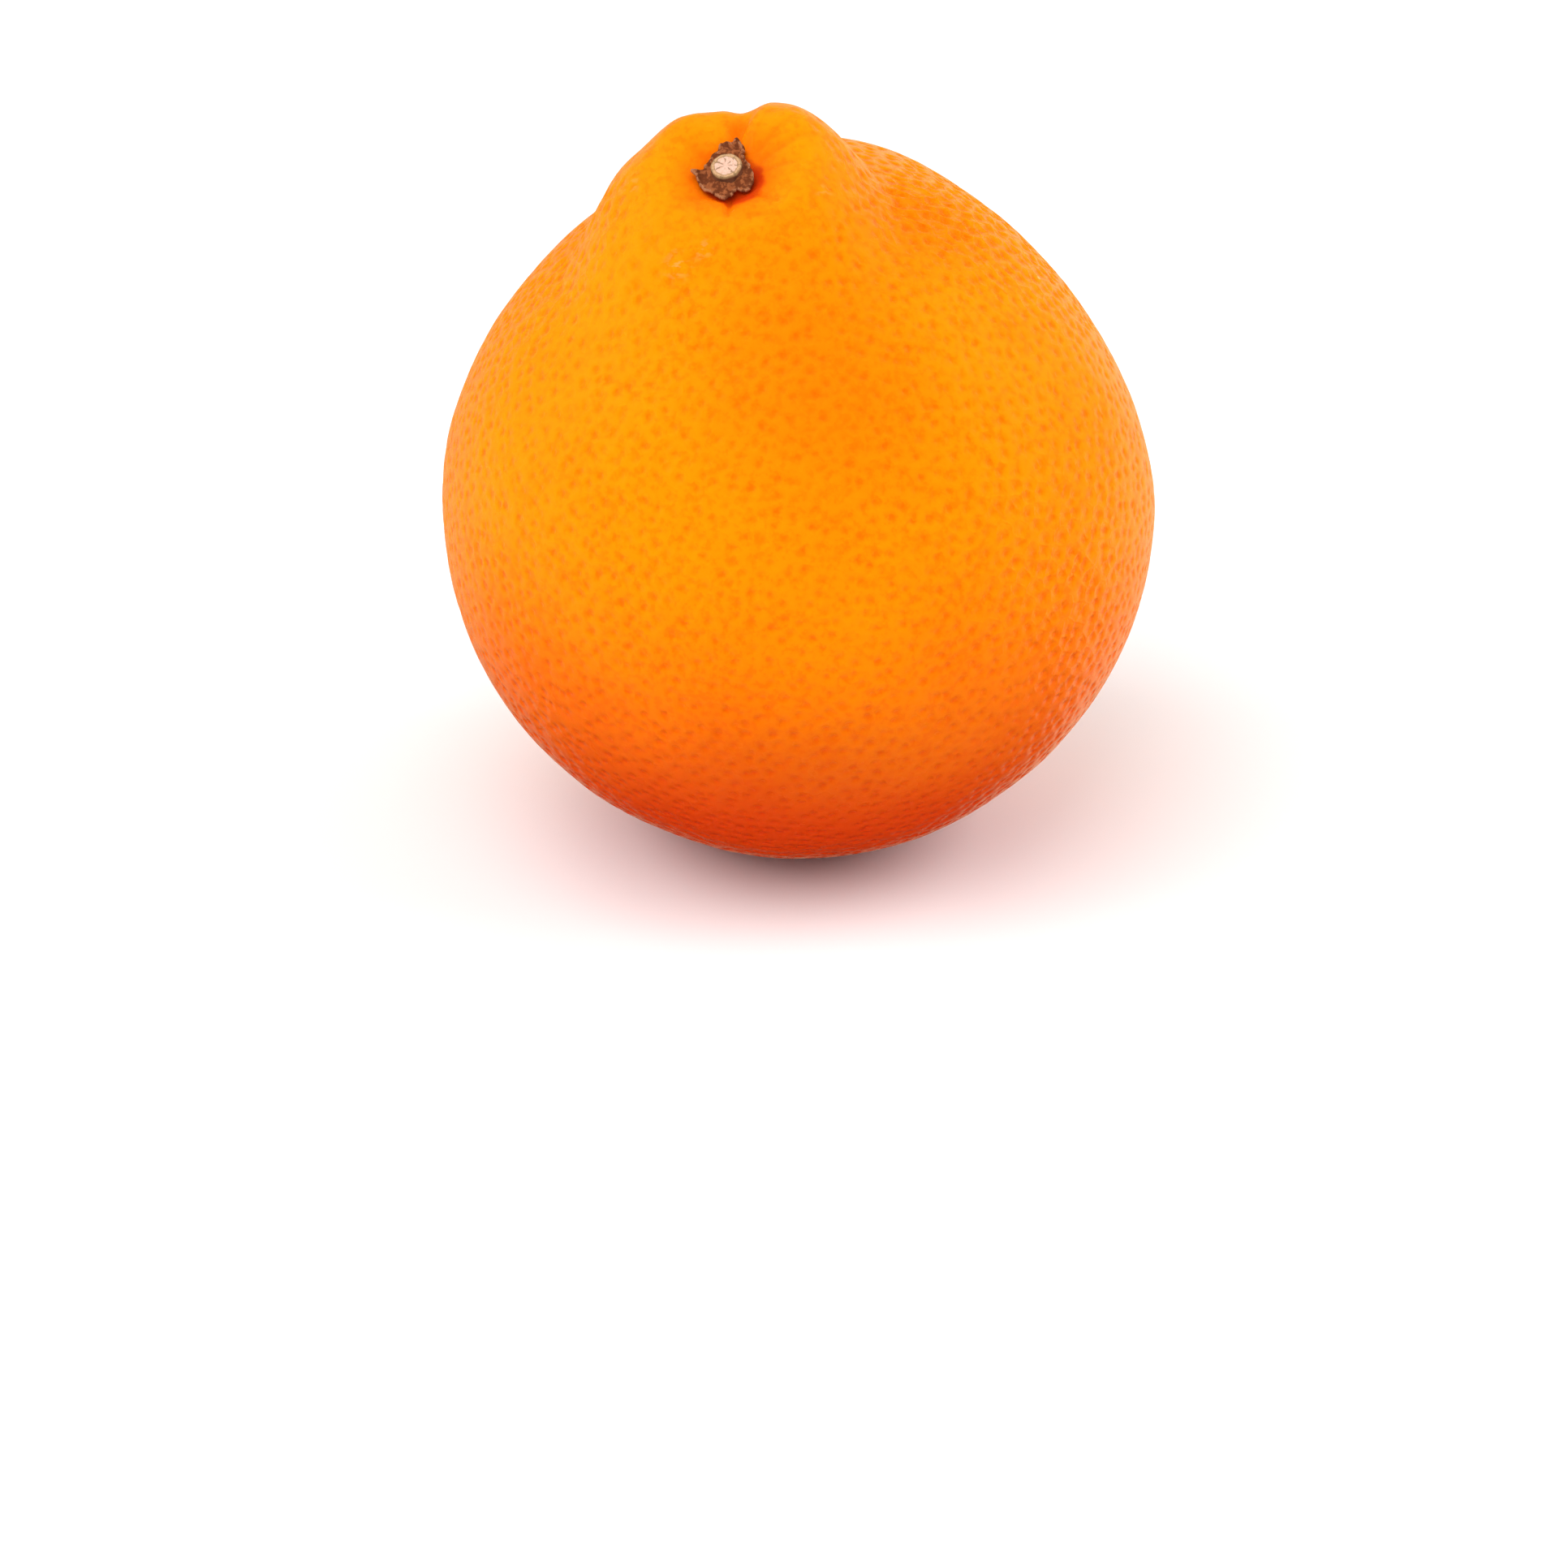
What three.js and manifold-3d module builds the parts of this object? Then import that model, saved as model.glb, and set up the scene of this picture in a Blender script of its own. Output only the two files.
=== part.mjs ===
// A whole tangelo standing on its small flat spot. Millimetres, +Z up, origin at the centre of the flat spot.
// The stem end is described on a map: u runs to the right and v to the back, in millimetres of peel measured
// from the stem axis, so that each swelling or hollow has a place (u, v), a reach and a height.
import * as THREE from 'three';
import { mergeVertices } from 'three/addons/utils/BufferGeometryUtils.js';
import Module from 'manifold-3d';

// ---- driving dimensions ----
const BODY_RADIUS = 40;
const REST_HEIGHT = 39.3; // body centre above the flat spot
const LEAN_FORWARD = 14; // degrees the stem axis leans towards -Y
const LEAN_LEFT = 9.5; // degrees the stem axis leans towards -X

// The raised neck: a plateau round (u, v) that slopes up to the back and falls to the body at its foot.
const NECK = { u: 0.5, v: -1, rise: 7, slope: 0.045, slopeReach: 12, squareness: 2.5 };
const NECK_TOP = { all: 5.3, left: 1, right: -0.9 };
const NECK_FOOT = { all: 19, left: 3.8, right: -1.8, front: 2.5 };

const SWELLINGS = [
  { u: 7.9, v: 7.6, reach: 8.7, rise: 1 }, // right lobe behind the stem
  { u: -4.3, v: 7.6, reach: 4.5, rise: 0.45 }, // left lobe
  { u: -7.2, v: 6.4, reach: 4.5, rise: -0.4 }, // dent beside the left lobe
  { u: 12.5, v: 30.2, reach: 21, rise: 1.4 }, // shoulder behind the right lobe
  { u: -30, v: 15, reach: 26, rise: -0.5 }, // flatter left flank
  { u: 33, v: 22, reach: 30, rise: -0.6 }, // flatter right shoulder
  { u: 53, v: 14, reach: 28, rise: -1.15 }, // flatter right flank
];
const FURROW = { from: [0.8, 3.2], to: [3, 14], nearWidth: 1.6, farWidth: 3.2, depth: 1 };
const WELL = { v: -0.2, floor: 2.2, rim: 8.5, depth: 1.8 };
const BLOSSOM_SCAR = { floor: 0.6, rim: 3, depth: 0.7 };

const GAP = 0.3; // clearance between touching pieces
const BUTTON_SEAT = { v: -0.3, height: 45.14, tilt: 16 }; // centre of the well floor and its slope to the front
const CALYX = { radius: 3.4, thickness: 0.7, edge: 0.3, dish: 0.02, lobes: 5, lobeDepth: 0.16 };
const STUB = { radius: 1.7, flare: 0.15, chamfer: 0.12, height: 0.9 };

const FRUIT_SEGMENTS = 72;
const FRUIT_RINGS = 44;
const RING_CROWDING = 1.35; // above 1 the rings sit closer together at the stem end
const CALYX_SEGMENTS = 40;
const STUB_SEGMENTS = 28;

// ---- surface of the fruit ----
const smoothStep = (low, high, x) => THREE.MathUtils.smoothstep(x, low, high);

function bell(x) {
  const inside = Math.min(Math.abs(x), 1);
  return (1 - inside * inside) ** 2;
}

function neckHeight(u, v) {
  const du = u - NECK.u;
  const dv = v - NECK.v;
  const straight = Math.hypot(du, dv) + 1e-9;
  const power = NECK.squareness;
  const distance = (Math.abs(du) ** power + Math.abs(dv) ** power) ** (1 / power);
  const left = Math.max(-du / straight, 0) ** 2;
  const right = Math.max(du / straight, 0) ** 2;
  const front = Math.max(-dv / straight, 0);
  const top = NECK_TOP.all + NECK_TOP.left * left + NECK_TOP.right * right;
  const foot = NECK_FOOT.all + NECK_FOOT.left * left + NECK_FOOT.right * right + NECK_FOOT.front * front;
  const slope = 1 + NECK.slope * THREE.MathUtils.clamp(v, -NECK.slopeReach, NECK.slopeReach);
  return NECK.rise * slope * (1 - smoothStep(top, foot, distance));
}

function furrowDepth(u, v) {
  const start = new THREE.Vector2(...FURROW.from);
  const line = new THREE.Vector2(...FURROW.to).sub(start);
  const point = new THREE.Vector2(u, v).sub(start);
  const along = THREE.MathUtils.clamp(point.dot(line) / line.lengthSq(), 0, 1);
  const distance = point.distanceTo(line.multiplyScalar(along));
  return FURROW.depth * bell(distance / THREE.MathUtils.lerp(FURROW.nearWidth, FURROW.farWidth, along));
}

// Distance from the body centre to the peel, at a polar angle from the stem axis and an angle round it.
function peelRadius(polar, round) {
  const arc = BODY_RADIUS * polar;
  const u = arc * Math.cos(round);
  const v = arc * Math.sin(round);
  let radius = BODY_RADIUS + neckHeight(u, v) - furrowDepth(u, v);
  for (const swelling of SWELLINGS) {
    radius += swelling.rise * bell(Math.hypot(u - swelling.u, v - swelling.v) / swelling.reach);
  }
  radius -= WELL.depth * (1 - smoothStep(WELL.floor, WELL.rim, Math.hypot(u, v - WELL.v)));
  const arcFromBlossom = BODY_RADIUS * Math.PI - arc;
  radius -= BLOSSOM_SCAR.depth * (1 - smoothStep(BLOSSOM_SCAR.floor, BLOSSOM_SCAR.rim, arcFromBlossom));
  return radius;
}

// ---- solids ----
const wasm = await Module();
wasm.setup();

function positionsOnly(geometry) {
  geometry.deleteAttribute('normal');
  geometry.deleteAttribute('uv');
  return mergeVertices(geometry, 1e-4);
}

function toSolid(geometry) {
  const merged = positionsOnly(geometry);
  const vertProperties = new Float32Array(merged.attributes.position.array);
  const triVerts = new Uint32Array(merged.index.array);
  return new wasm.Manifold(new wasm.Mesh({ numProp: 3, vertProperties, triVerts }));
}

function toGeometry(solid) {
  const mesh = solid.getMesh();
  const geometry = new THREE.BufferGeometry();
  geometry.setAttribute('position', new THREE.BufferAttribute(mesh.vertProperties, 3));
  geometry.setIndex(new THREE.BufferAttribute(mesh.triVerts, 1));
  return geometry;
}

function material(color, roughness) {
  return new THREE.MeshStandardMaterial({ color, roughness, metalness: 0 });
}

const lean = new THREE.Euler(THREE.MathUtils.degToRad(LEAN_FORWARD), THREE.MathUtils.degToRad(-LEAN_LEFT), 0);

// ---- the fruit ----
function makeFruit() {
  const geometry = new THREE.SphereGeometry(1, FRUIT_SEGMENTS, FRUIT_RINGS);
  geometry.rotateX(Math.PI / 2);
  const position = geometry.attributes.position;
  const point = new THREE.Vector3();
  for (let i = 0; i < position.count; i += 1) {
    point.fromBufferAttribute(position, i);
    const round = Math.atan2(point.y, point.x);
    const evenPolar = Math.acos(THREE.MathUtils.clamp(point.z, -1, 1));
    const polar = Math.PI * (evenPolar / Math.PI) ** RING_CROWDING;
    const across = Math.sin(polar);
    point.set(across * Math.cos(round), across * Math.sin(round), Math.cos(polar));
    point.multiplyScalar(peelRadius(polar, round)).applyEuler(lean);
    position.setXYZ(i, point.x, point.y, point.z);
  }
  const below = new THREE.BoxGeometry(BODY_RADIUS, BODY_RADIUS, BODY_RADIUS);
  below.translate(0, 0, -REST_HEIGHT - BODY_RADIUS / 2);
  const solid = toSolid(geometry).subtract(toSolid(below));
  const mesh = new THREE.Mesh(toGeometry(solid), material(0xf98a08, 0.42));
  mesh.name = 'fruit';
  return mesh;
}

// ---- the dried calyx: a thin star-shaped disc, dished to lie in the well ----
function makeCalyx() {
  const { radius, thickness, edge } = CALYX;
  const profile = [
    new THREE.Vector2(0, 0),
    new THREE.Vector2(radius * 0.5, 0),
    new THREE.Vector2(radius * 0.93, 0),
    new THREE.Vector2(radius, edge / 2),
    new THREE.Vector2(radius * 0.93, edge),
    new THREE.Vector2(radius * 0.55, thickness * 0.8),
    new THREE.Vector2(0, thickness),
  ];
  const geometry = new THREE.LatheGeometry(profile, CALYX_SEGMENTS);
  geometry.rotateX(Math.PI / 2);
  const position = geometry.attributes.position;
  for (let i = 0; i < position.count; i += 1) {
    const x = position.getX(i);
    const y = position.getY(i);
    const out = Math.hypot(x, y) / radius;
    const star = 1 + CALYX.lobeDepth * out * Math.cos(CALYX.lobes * (Math.atan2(y, x) - Math.PI / 2));
    const lift = CALYX.dish * (x * x + y * y) * star * star;
    position.setXYZ(i, x * star, y * star, position.getZ(i) + lift);
  }
  const mesh = new THREE.Mesh(positionsOnly(geometry), material(0x7a4a2e, 0.85));
  mesh.name = 'calyx';
  mesh.position.z = GAP;
  return mesh;
}

// ---- the cut stem: a short peg with a slightly flared foot ----
function makeStemStub() {
  const { radius, flare, chamfer, height } = STUB;
  const profile = [
    new THREE.Vector2(0, 0),
    new THREE.Vector2(radius + flare, 0),
    new THREE.Vector2(radius, height / 2),
    new THREE.Vector2(radius, height - chamfer),
    new THREE.Vector2(radius - chamfer, height),
    new THREE.Vector2(0, height),
  ];
  const geometry = new THREE.LatheGeometry(profile, STUB_SEGMENTS);
  geometry.rotateX(Math.PI / 2);
  const mesh = new THREE.Mesh(positionsOnly(geometry), material(0xf3d0b4, 0.8));
  mesh.name = 'stem_stub';
  mesh.position.z = 2 * GAP + CALYX.thickness;
  return mesh;
}

// ---- assembly ----
const button = new THREE.Group();
button.add(makeCalyx(), makeStemStub());
button.position.set(0, BUTTON_SEAT.v, BUTTON_SEAT.height);
button.rotation.x = THREE.MathUtils.degToRad(BUTTON_SEAT.tilt);

const stemEnd = new THREE.Group();
stemEnd.rotation.copy(lean);
stemEnd.add(button);

const group = new THREE.Group();
group.position.z = REST_HEIGHT;
group.add(makeFruit(), stemEnd);

export default group;
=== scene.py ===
import math

import bmesh
import bpy
import numpy as np
from mathutils import Euler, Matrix, Vector, kdtree, noise


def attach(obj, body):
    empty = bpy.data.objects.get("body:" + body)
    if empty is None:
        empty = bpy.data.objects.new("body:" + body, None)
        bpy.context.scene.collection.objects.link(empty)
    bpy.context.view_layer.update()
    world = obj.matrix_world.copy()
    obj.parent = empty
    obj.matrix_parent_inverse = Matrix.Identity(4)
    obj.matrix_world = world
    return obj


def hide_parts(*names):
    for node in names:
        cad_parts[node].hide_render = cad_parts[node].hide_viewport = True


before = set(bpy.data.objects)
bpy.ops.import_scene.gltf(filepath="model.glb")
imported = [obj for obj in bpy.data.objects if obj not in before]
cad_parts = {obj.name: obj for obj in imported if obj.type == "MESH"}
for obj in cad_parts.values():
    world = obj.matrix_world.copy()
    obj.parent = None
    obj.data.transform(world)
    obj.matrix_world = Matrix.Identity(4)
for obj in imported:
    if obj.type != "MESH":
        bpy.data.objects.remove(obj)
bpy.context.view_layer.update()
mm = 0.001
perMetre = 1000.0  # millimetres
print("frame loaded:", sorted(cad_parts))

# The outer form is the one the CAD fruit has, in millimetres.
# The stem end is a flat map: u to the right and v to the back, in millimetres of peel from the stem axis.
body = {
    "radius": 40.0,
    "restHeight": 39.3,  # body centre above the flat spot
    "leanForward": 14.0,  # degrees, stem axis towards -Y
    "leanLeft": 9.5,  # degrees, stem axis towards -X
}
neck = {
    "place": (0.5, -1.0),
    "rise": 7.0,
    "slope": 0.045,  # the plateau climbs to the back
    "slopeReach": 12.0,
    "squareness": 2.5,
    "top": {"all": 5.3, "left": 1.0, "right": -0.9},
    "foot": {"all": 19.0, "left": 3.8, "right": -1.8, "front": 2.5},
}
swellings = [  # place on the map, reach, rise
    {"place": (7.9, 7.6), "reach": 8.7, "rise": 1.0},  # right lobe behind the stem
    {"place": (-4.3, 7.6), "reach": 4.5, "rise": 0.45},  # left lobe
    {"place": (-7.2, 6.4), "reach": 4.5, "rise": -0.4},  # dent beside the left lobe
    {"place": (12.5, 30.2), "reach": 21.0, "rise": 1.4},  # shoulder behind the right lobe
    {"place": (-30.0, 15.0), "reach": 26.0, "rise": -0.5},  # flatter left flank
    {"place": (33.0, 22.0), "reach": 30.0, "rise": -0.6},  # flatter right shoulder
    {"place": (53.0, 14.0), "reach": 28.0, "rise": -1.15},  # flatter right flank
]
furrow = {"start": (0.8, 3.2), "end": (3.0, 14.0), "nearWidth": 1.6, "farWidth": 3.2, "depth": 1.0}
well = {"place": (0.0, -0.2), "floor": 2.2, "rim": 8.5, "depth": 1.8}
blossomScar = {"floor": 0.6, "rim": 3.0, "depth": 0.7}

lean = Euler((math.radians(body["leanForward"]), math.radians(-body["leanLeft"]), 0))
leanTurn = np.array(lean.to_matrix())
bodyCentre = np.array([0.0, 0.0, body["restHeight"]])


def smoothStep(low, high, x):
    t = np.clip((x - low) / (high - low), 0, 1)
    return t * t * (3 - 2 * t)


def bell(x):
    inside = np.clip(np.abs(x), 0, 1)
    return (1 - inside ** 2) ** 2


def awayFrom(place, u, v):
    return np.hypot(u - place[0], v - place[1])


def awayFromLine(start, end, u, v):
    start = np.array(start)
    line = np.array(end) - start
    along = np.clip(((u - start[0]) * line[0] + (v - start[1]) * line[1]) / (line @ line), 0, 1)
    return np.hypot(u - start[0] - along * line[0], v - start[1] - along * line[1]), along


def neckHeight(u, v):
    du = u - neck["place"][0]
    dv = v - neck["place"][1]
    straight = np.hypot(du, dv) + 1e-9
    power = neck["squareness"]
    distance = (np.abs(du) ** power + np.abs(dv) ** power) ** (1 / power)
    left = np.maximum(-du / straight, 0) ** 2
    right = np.maximum(du / straight, 0) ** 2
    front = np.maximum(-dv / straight, 0)
    top = neck["top"]["all"] + neck["top"]["left"] * left + neck["top"]["right"] * right
    foot = neck["foot"]["all"] + neck["foot"]["left"] * left + neck["foot"]["right"] * right
    foot = foot + neck["foot"]["front"] * front
    slope = 1 + neck["slope"] * np.clip(v, -neck["slopeReach"], neck["slopeReach"])
    return neck["rise"] * slope * (1 - smoothStep(top, foot, distance))


def plainRadius(u, v):
    arc = np.hypot(u, v)
    radius = body["radius"] + neckHeight(u, v)
    for swelling in swellings:
        radius = radius + swelling["rise"] * bell(awayFrom(swelling["place"], u, v) / swelling["reach"])
    distance, along = awayFromLine(furrow["start"], furrow["end"], u, v)
    width = furrow["nearWidth"] + (furrow["farWidth"] - furrow["nearWidth"]) * along
    radius = radius - furrow["depth"] * bell(distance / width)
    inWell = 1 - smoothStep(well["floor"], well["rim"], awayFrom(well["place"], u, v))
    inScar = 1 - smoothStep(blossomScar["floor"], blossomScar["rim"], body["radius"] * np.pi - arc)
    return radius - well["depth"] * inWell - blossomScar["depth"] * inScar


def mapOf(directions):
    polar = np.arccos(np.clip(directions[:, 2], -1, 1))
    turn = np.arctan2(directions[:, 1], directions[:, 0])
    arc = body["radius"] * polar
    return arc * np.cos(turn), arc * np.sin(turn)


def directionsAt(u, v):
    arc = np.hypot(u, v)
    polar = arc / body["radius"]
    across = np.where(arc > 1e-9, np.sin(polar) / np.maximum(arc, 1e-9), 1 / body["radius"])
    return np.stack([u * across, v * across, np.cos(polar)], axis=-1)


def toWorld(points):  # from the stem-up frame in millimetres to the part's frame in metres
    return (points @ leanTurn.T + bodyCentre) * mm


# The peel's own detail is finer than the CAD fruit's.
button = {"place": (-0.28, -0.25), "stretch": 1.12}  # the neck stands further out than the map's radius
peelDetail = {
    "rounds": 7,  # each one splits every edge of the first cube in two
    "crowding": 0.35,  # how much closer the mesh is at the stem end
    "lumps": [(0.075, 0.2), (0.2, 0.055), (0.52, 0.014)],  # waves per millimetre, height
    "calmRadius": 15.0,  # the lumps fade towards the stem inside this
    "calmCore": 3.0,
    "leastLumps": 0.25,
    "moat": {"start": 1.4, "inner": 2.4, "outer": 3.9, "depth": 0.45},  # gap that the calyx stands in
}
creases = [  # start, end, width, depth
    {"start": (-0.4, -3.7), "end": (-0.7, -5.6), "width": 0.55, "depth": 0.5},
    {"start": (-3.1, -2.6), "end": (-4.3, -2.9), "width": 0.6, "depth": 0.22},
    {"start": (2.4, -3.2), "end": (4.2, -4.6), "width": 0.6, "depth": 0.42},
    {"start": (3.0, 0.8), "end": (7.6, 2.6), "width": 0.6, "depth": 0.2},
    {"start": (2.8, 1.9), "end": (5.8, 4.1), "width": 0.5, "depth": 0.14},
    {"start": (3.2, -0.6), "end": (6.6, -0.4), "width": 0.5, "depth": 0.12},
    {"start": (1.4, -6.2), "end": (5.0, -6.6), "width": 0.6, "depth": 0.07},
    {"start": (-2.2, 2.2), "end": (-4.4, 4.2), "width": 0.7, "depth": 0.12},
]
puckers = [  # small swellings of the peel round the calyx
    {"place": (-2.3, -4.3), "reach": 2.3, "rise": 0.36},
    {"place": (1.3, -4.8), "reach": 2.4, "rise": 0.36},
    {"place": (4.2, -1.6), "reach": 2.1, "rise": 0.24},
    {"place": (-4.2, -0.4), "reach": 2.1, "rise": 0.16},
    {"place": (-1.4, 7.6), "reach": 3.6, "rise": -0.25},
    {"place": (4.0, 6.3), "reach": 2.6, "rise": -0.38},
]
lobeEdge = {  # the right lobe ends in a soft edge over the furrow, and the left one slopes down to it
    "start": (0.7, 3.2),
    "end": (3.4, 7.0),
    "rise": 0.3,
    "sink": 0.5,
    "risesOver": 1.4,
    "sinksOver": 1.3,
    "edge": 0.15,
    "middle": 0.36,  # where along the line it is strongest
    "reach": 0.66,
}
lightAndShadePatches = [  # painted light and shade: patches of peel painted more golden, above 0, where more light falls on the left and the neck's front, or deeper orange, below 0, as shade at the neck's foot, in the valley to its right and in the furrow's trough
    {"place": (-30.0, -14.0), "reach": 24.0, "by": 0.45},
    {"place": (-11.0, -9.0), "reach": 13.0, "by": 0.4},
    {"place": (7.0, -24.0), "reach": 25.0, "by": -0.5},
    {"place": (20.0, 0.0), "reach": 15.0, "by": -0.5},
    {"place": (1.1, 5.2), "reach": 1.9, "by": -0.85},
]
pebbles = [  # patches where the pits lie deeper, with raised edges between them that carry a painted highlight
    {"place": (30.0, 12.0), "reach": 28.0, "by": 1.0},
    {"place": (-24.0, 6.0), "reach": 20.0, "by": 0.5},
    {"place": (40.0, -40.0), "reach": 22.0, "by": 0.4},
]
scuffs = [  # small pale scratches on the front of the neck
    {"place": (-6.2, -9.6), "reach": 2.0, "by": 0.9},
    {"place": (-3.4, -9.0), "reach": 1.3, "by": 0.8},
    {"place": (-9.6, 0.6), "reach": 2.0, "by": 0.7},
    {"place": (8.6, -3.6), "reach": 1.4, "by": 0.6},
]
wrinkles = [  # patches of fine folds, at the neck's right foot, on its right flank and on its left corner
    {"place": (20.0, 4.0), "turn": 21, "length": 12, "breadth": 12, "spacing": 2.3, "depth": 0.15},
    {"place": (13.4, -1.0), "turn": -65, "length": 11, "breadth": 4.5, "spacing": 1.6, "depth": 0.09},
    {"place": (-13.5, 3.0), "turn": 35, "length": 7, "breadth": 5, "spacing": 1.8, "depth": 0.08},
    {"place": (-20.0, 6.0), "turn": 15, "length": 9, "breadth": 7, "spacing": 2.2, "depth": 0.08},
]
foldWobble = [(0.9, 0.5, 0.0), (0.6, 1.3, 0.9), (0.4, 0.0, 0.7)]  # size, turns along, turns across
pores = {
    "count": 6000,
    "shake": 0.36,  # millimetres off an even spiral
    "depth": 0.12,
    "pebbleDepth": 0.16,  # more of it where the peel is pebbled
    "width": 0.58,
    "leastStrength": 0.5,
    "pebbleEvens": 0.6,  # how far the pits become alike where the peel is pebbled
    "smoothInside": 5.5,  # none inside this distance from the stem
    "fullOutside": 12.0,
    "seed": 11,
}


def moundNoise(points, wavesPerMm):
    scaled = points * wavesPerMm
    return np.array([noise.noise(Vector(spot)) for spot in scaled])


def foldsOf(patch, u, v):  # where the folds run, as an angle, and how strong they are
    turn = math.radians(patch["turn"])
    du = u - patch["place"][0]
    dv = v - patch["place"][1]
    along = du * math.cos(turn) + dv * math.sin(turn)
    across = dv * math.cos(turn) - du * math.sin(turn)
    angle = np.pi * across / patch["spacing"]
    for size, byAlong, byAcross in foldWobble:
        angle = angle + size * np.sin(along * byAlong + across * byAcross)
    return angle, bell(along / patch["length"]) * bell(across / patch["breadth"])


def wrinkleHeight(u, v):
    height = 0
    for patch in wrinkles:
        angle, strength = foldsOf(patch, u, v)
        height = height + patch["depth"] * strength * (1 - 2 * np.abs(np.sin(angle)))
    return height


def patchesAt(patches, u, v):
    total = np.zeros(len(u))
    for patch in patches:
        total = total + patch["by"] * bell(awayFrom(patch["place"], u, v) / patch["reach"])
    return total


def lobeEdgeHeight(u, v):
    start = np.array(lobeEdge["start"])
    line = np.array(lobeEdge["end"]) - start
    length = np.hypot(line[0], line[1])
    along = ((u - start[0]) * line[0] + (v - start[1]) * line[1]) / length ** 2
    side = ((u - start[0]) * line[1] - (v - start[1]) * line[0]) / length
    over = smoothStep(-lobeEdge["edge"], lobeEdge["edge"], side)
    up = lobeEdge["rise"] * np.exp(-np.maximum(side, 0) / lobeEdge["risesOver"])
    down = lobeEdge["sink"] * np.exp(np.minimum(side, 0) / lobeEdge["sinksOver"])
    return (over * up - (1 - over) * down) * bell((along - lobeEdge["middle"]) / lobeEdge["reach"])


def detailedRadius(directions, u, v):
    fromButton = awayFrom(button["place"], u, v)
    radius = plainRadius(u, v)
    calm = smoothStep(peelDetail["calmCore"], peelDetail["calmRadius"], fromButton)
    calm = peelDetail["leastLumps"] + (1 - peelDetail["leastLumps"]) * calm
    for waves, height in peelDetail["lumps"]:
        radius = radius + height * calm * moundNoise(directions * body["radius"], waves)
    moat = peelDetail["moat"]
    ring = smoothStep(moat["start"], moat["inner"], fromButton)
    ring = ring * (1 - smoothStep(moat["inner"], moat["outer"], fromButton))
    radius = radius - moat["depth"] * ring
    for crease in creases:
        distance, along = awayFromLine(crease["start"], crease["end"], u, v)
        radius = radius - crease["depth"] * (1 - 0.5 * along) * bell(distance / crease["width"])
    for pucker in puckers:
        radius = radius + pucker["rise"] * bell(awayFrom(pucker["place"], u, v) / pucker["reach"])
    return radius + wrinkleHeight(u, v) + lobeEdgeHeight(u, v)


def placePores():
    luck = np.random.default_rng(pores["seed"])
    step = np.arange(pores["count"]) + 0.5
    height = 1 - 2 * step / pores["count"]
    turn = step * np.pi * (3 - np.sqrt(5))
    across = np.sqrt(1 - height ** 2)
    directions = np.stack([across * np.cos(turn), across * np.sin(turn), height], axis=-1)
    directions = directions + luck.normal(0, pores["shake"] / body["radius"], directions.shape)
    directions = directions / np.linalg.norm(directions, axis=1)[:, None]
    u, v = mapOf(directions)
    points = directions * detailedRadius(directions, u, v)[:, None]
    strength = pores["leastStrength"] + (1 - pores["leastStrength"]) * luck.random(pores["count"])
    strength = strength + (1 - strength) * pores["pebbleEvens"] * np.minimum(patchesAt(pebbles, u, v), 1)
    fromButton = awayFrom(button["place"], u, v)
    strength = strength * smoothStep(pores["smoothInside"], pores["fullOutside"], fromButton)
    return points, strength


def nearestPores(points, poreTree):  # numbers and distances of the two nearest
    found = [poreTree.find_n(spot, 2) for spot in points]
    numbers = np.array([[hit[1] for hit in pair] for pair in found])
    distances = np.array([[hit[2] for hit in pair] for pair in found])
    return numbers, distances


def sphereFromCube():
    form = bmesh.new()
    bmesh.ops.create_cube(form, size=2)
    for _ in range(peelDetail["rounds"]):
        bmesh.ops.subdivide_edges(form, edges=form.edges[:], cuts=1, use_grid_fill=True)
    bmesh.ops.recalc_face_normals(form, faces=form.faces[:])
    return form


def finishMesh(form, name):
    mesh = bpy.data.meshes.new(name)
    form.to_mesh(mesh)
    form.free()
    mesh.shade_smooth()
    piece = bpy.data.objects.new(name, mesh)
    bpy.context.scene.collection.objects.link(piece)
    return piece


def readPoints(mesh):
    points = np.empty(len(mesh.vertices) * 3)
    mesh.vertices.foreach_get("co", points)
    return points.reshape(-1, 3)


def writePoints(mesh, points):
    mesh.vertices.foreach_set("co", points.ravel())
    mesh.update()


def store(mesh, name, kind, domain, values):
    made = mesh.attributes.new(name, kind, domain)
    made.data.foreach_set("value" if kind == "FLOAT" else "vector", np.ravel(values))


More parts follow.
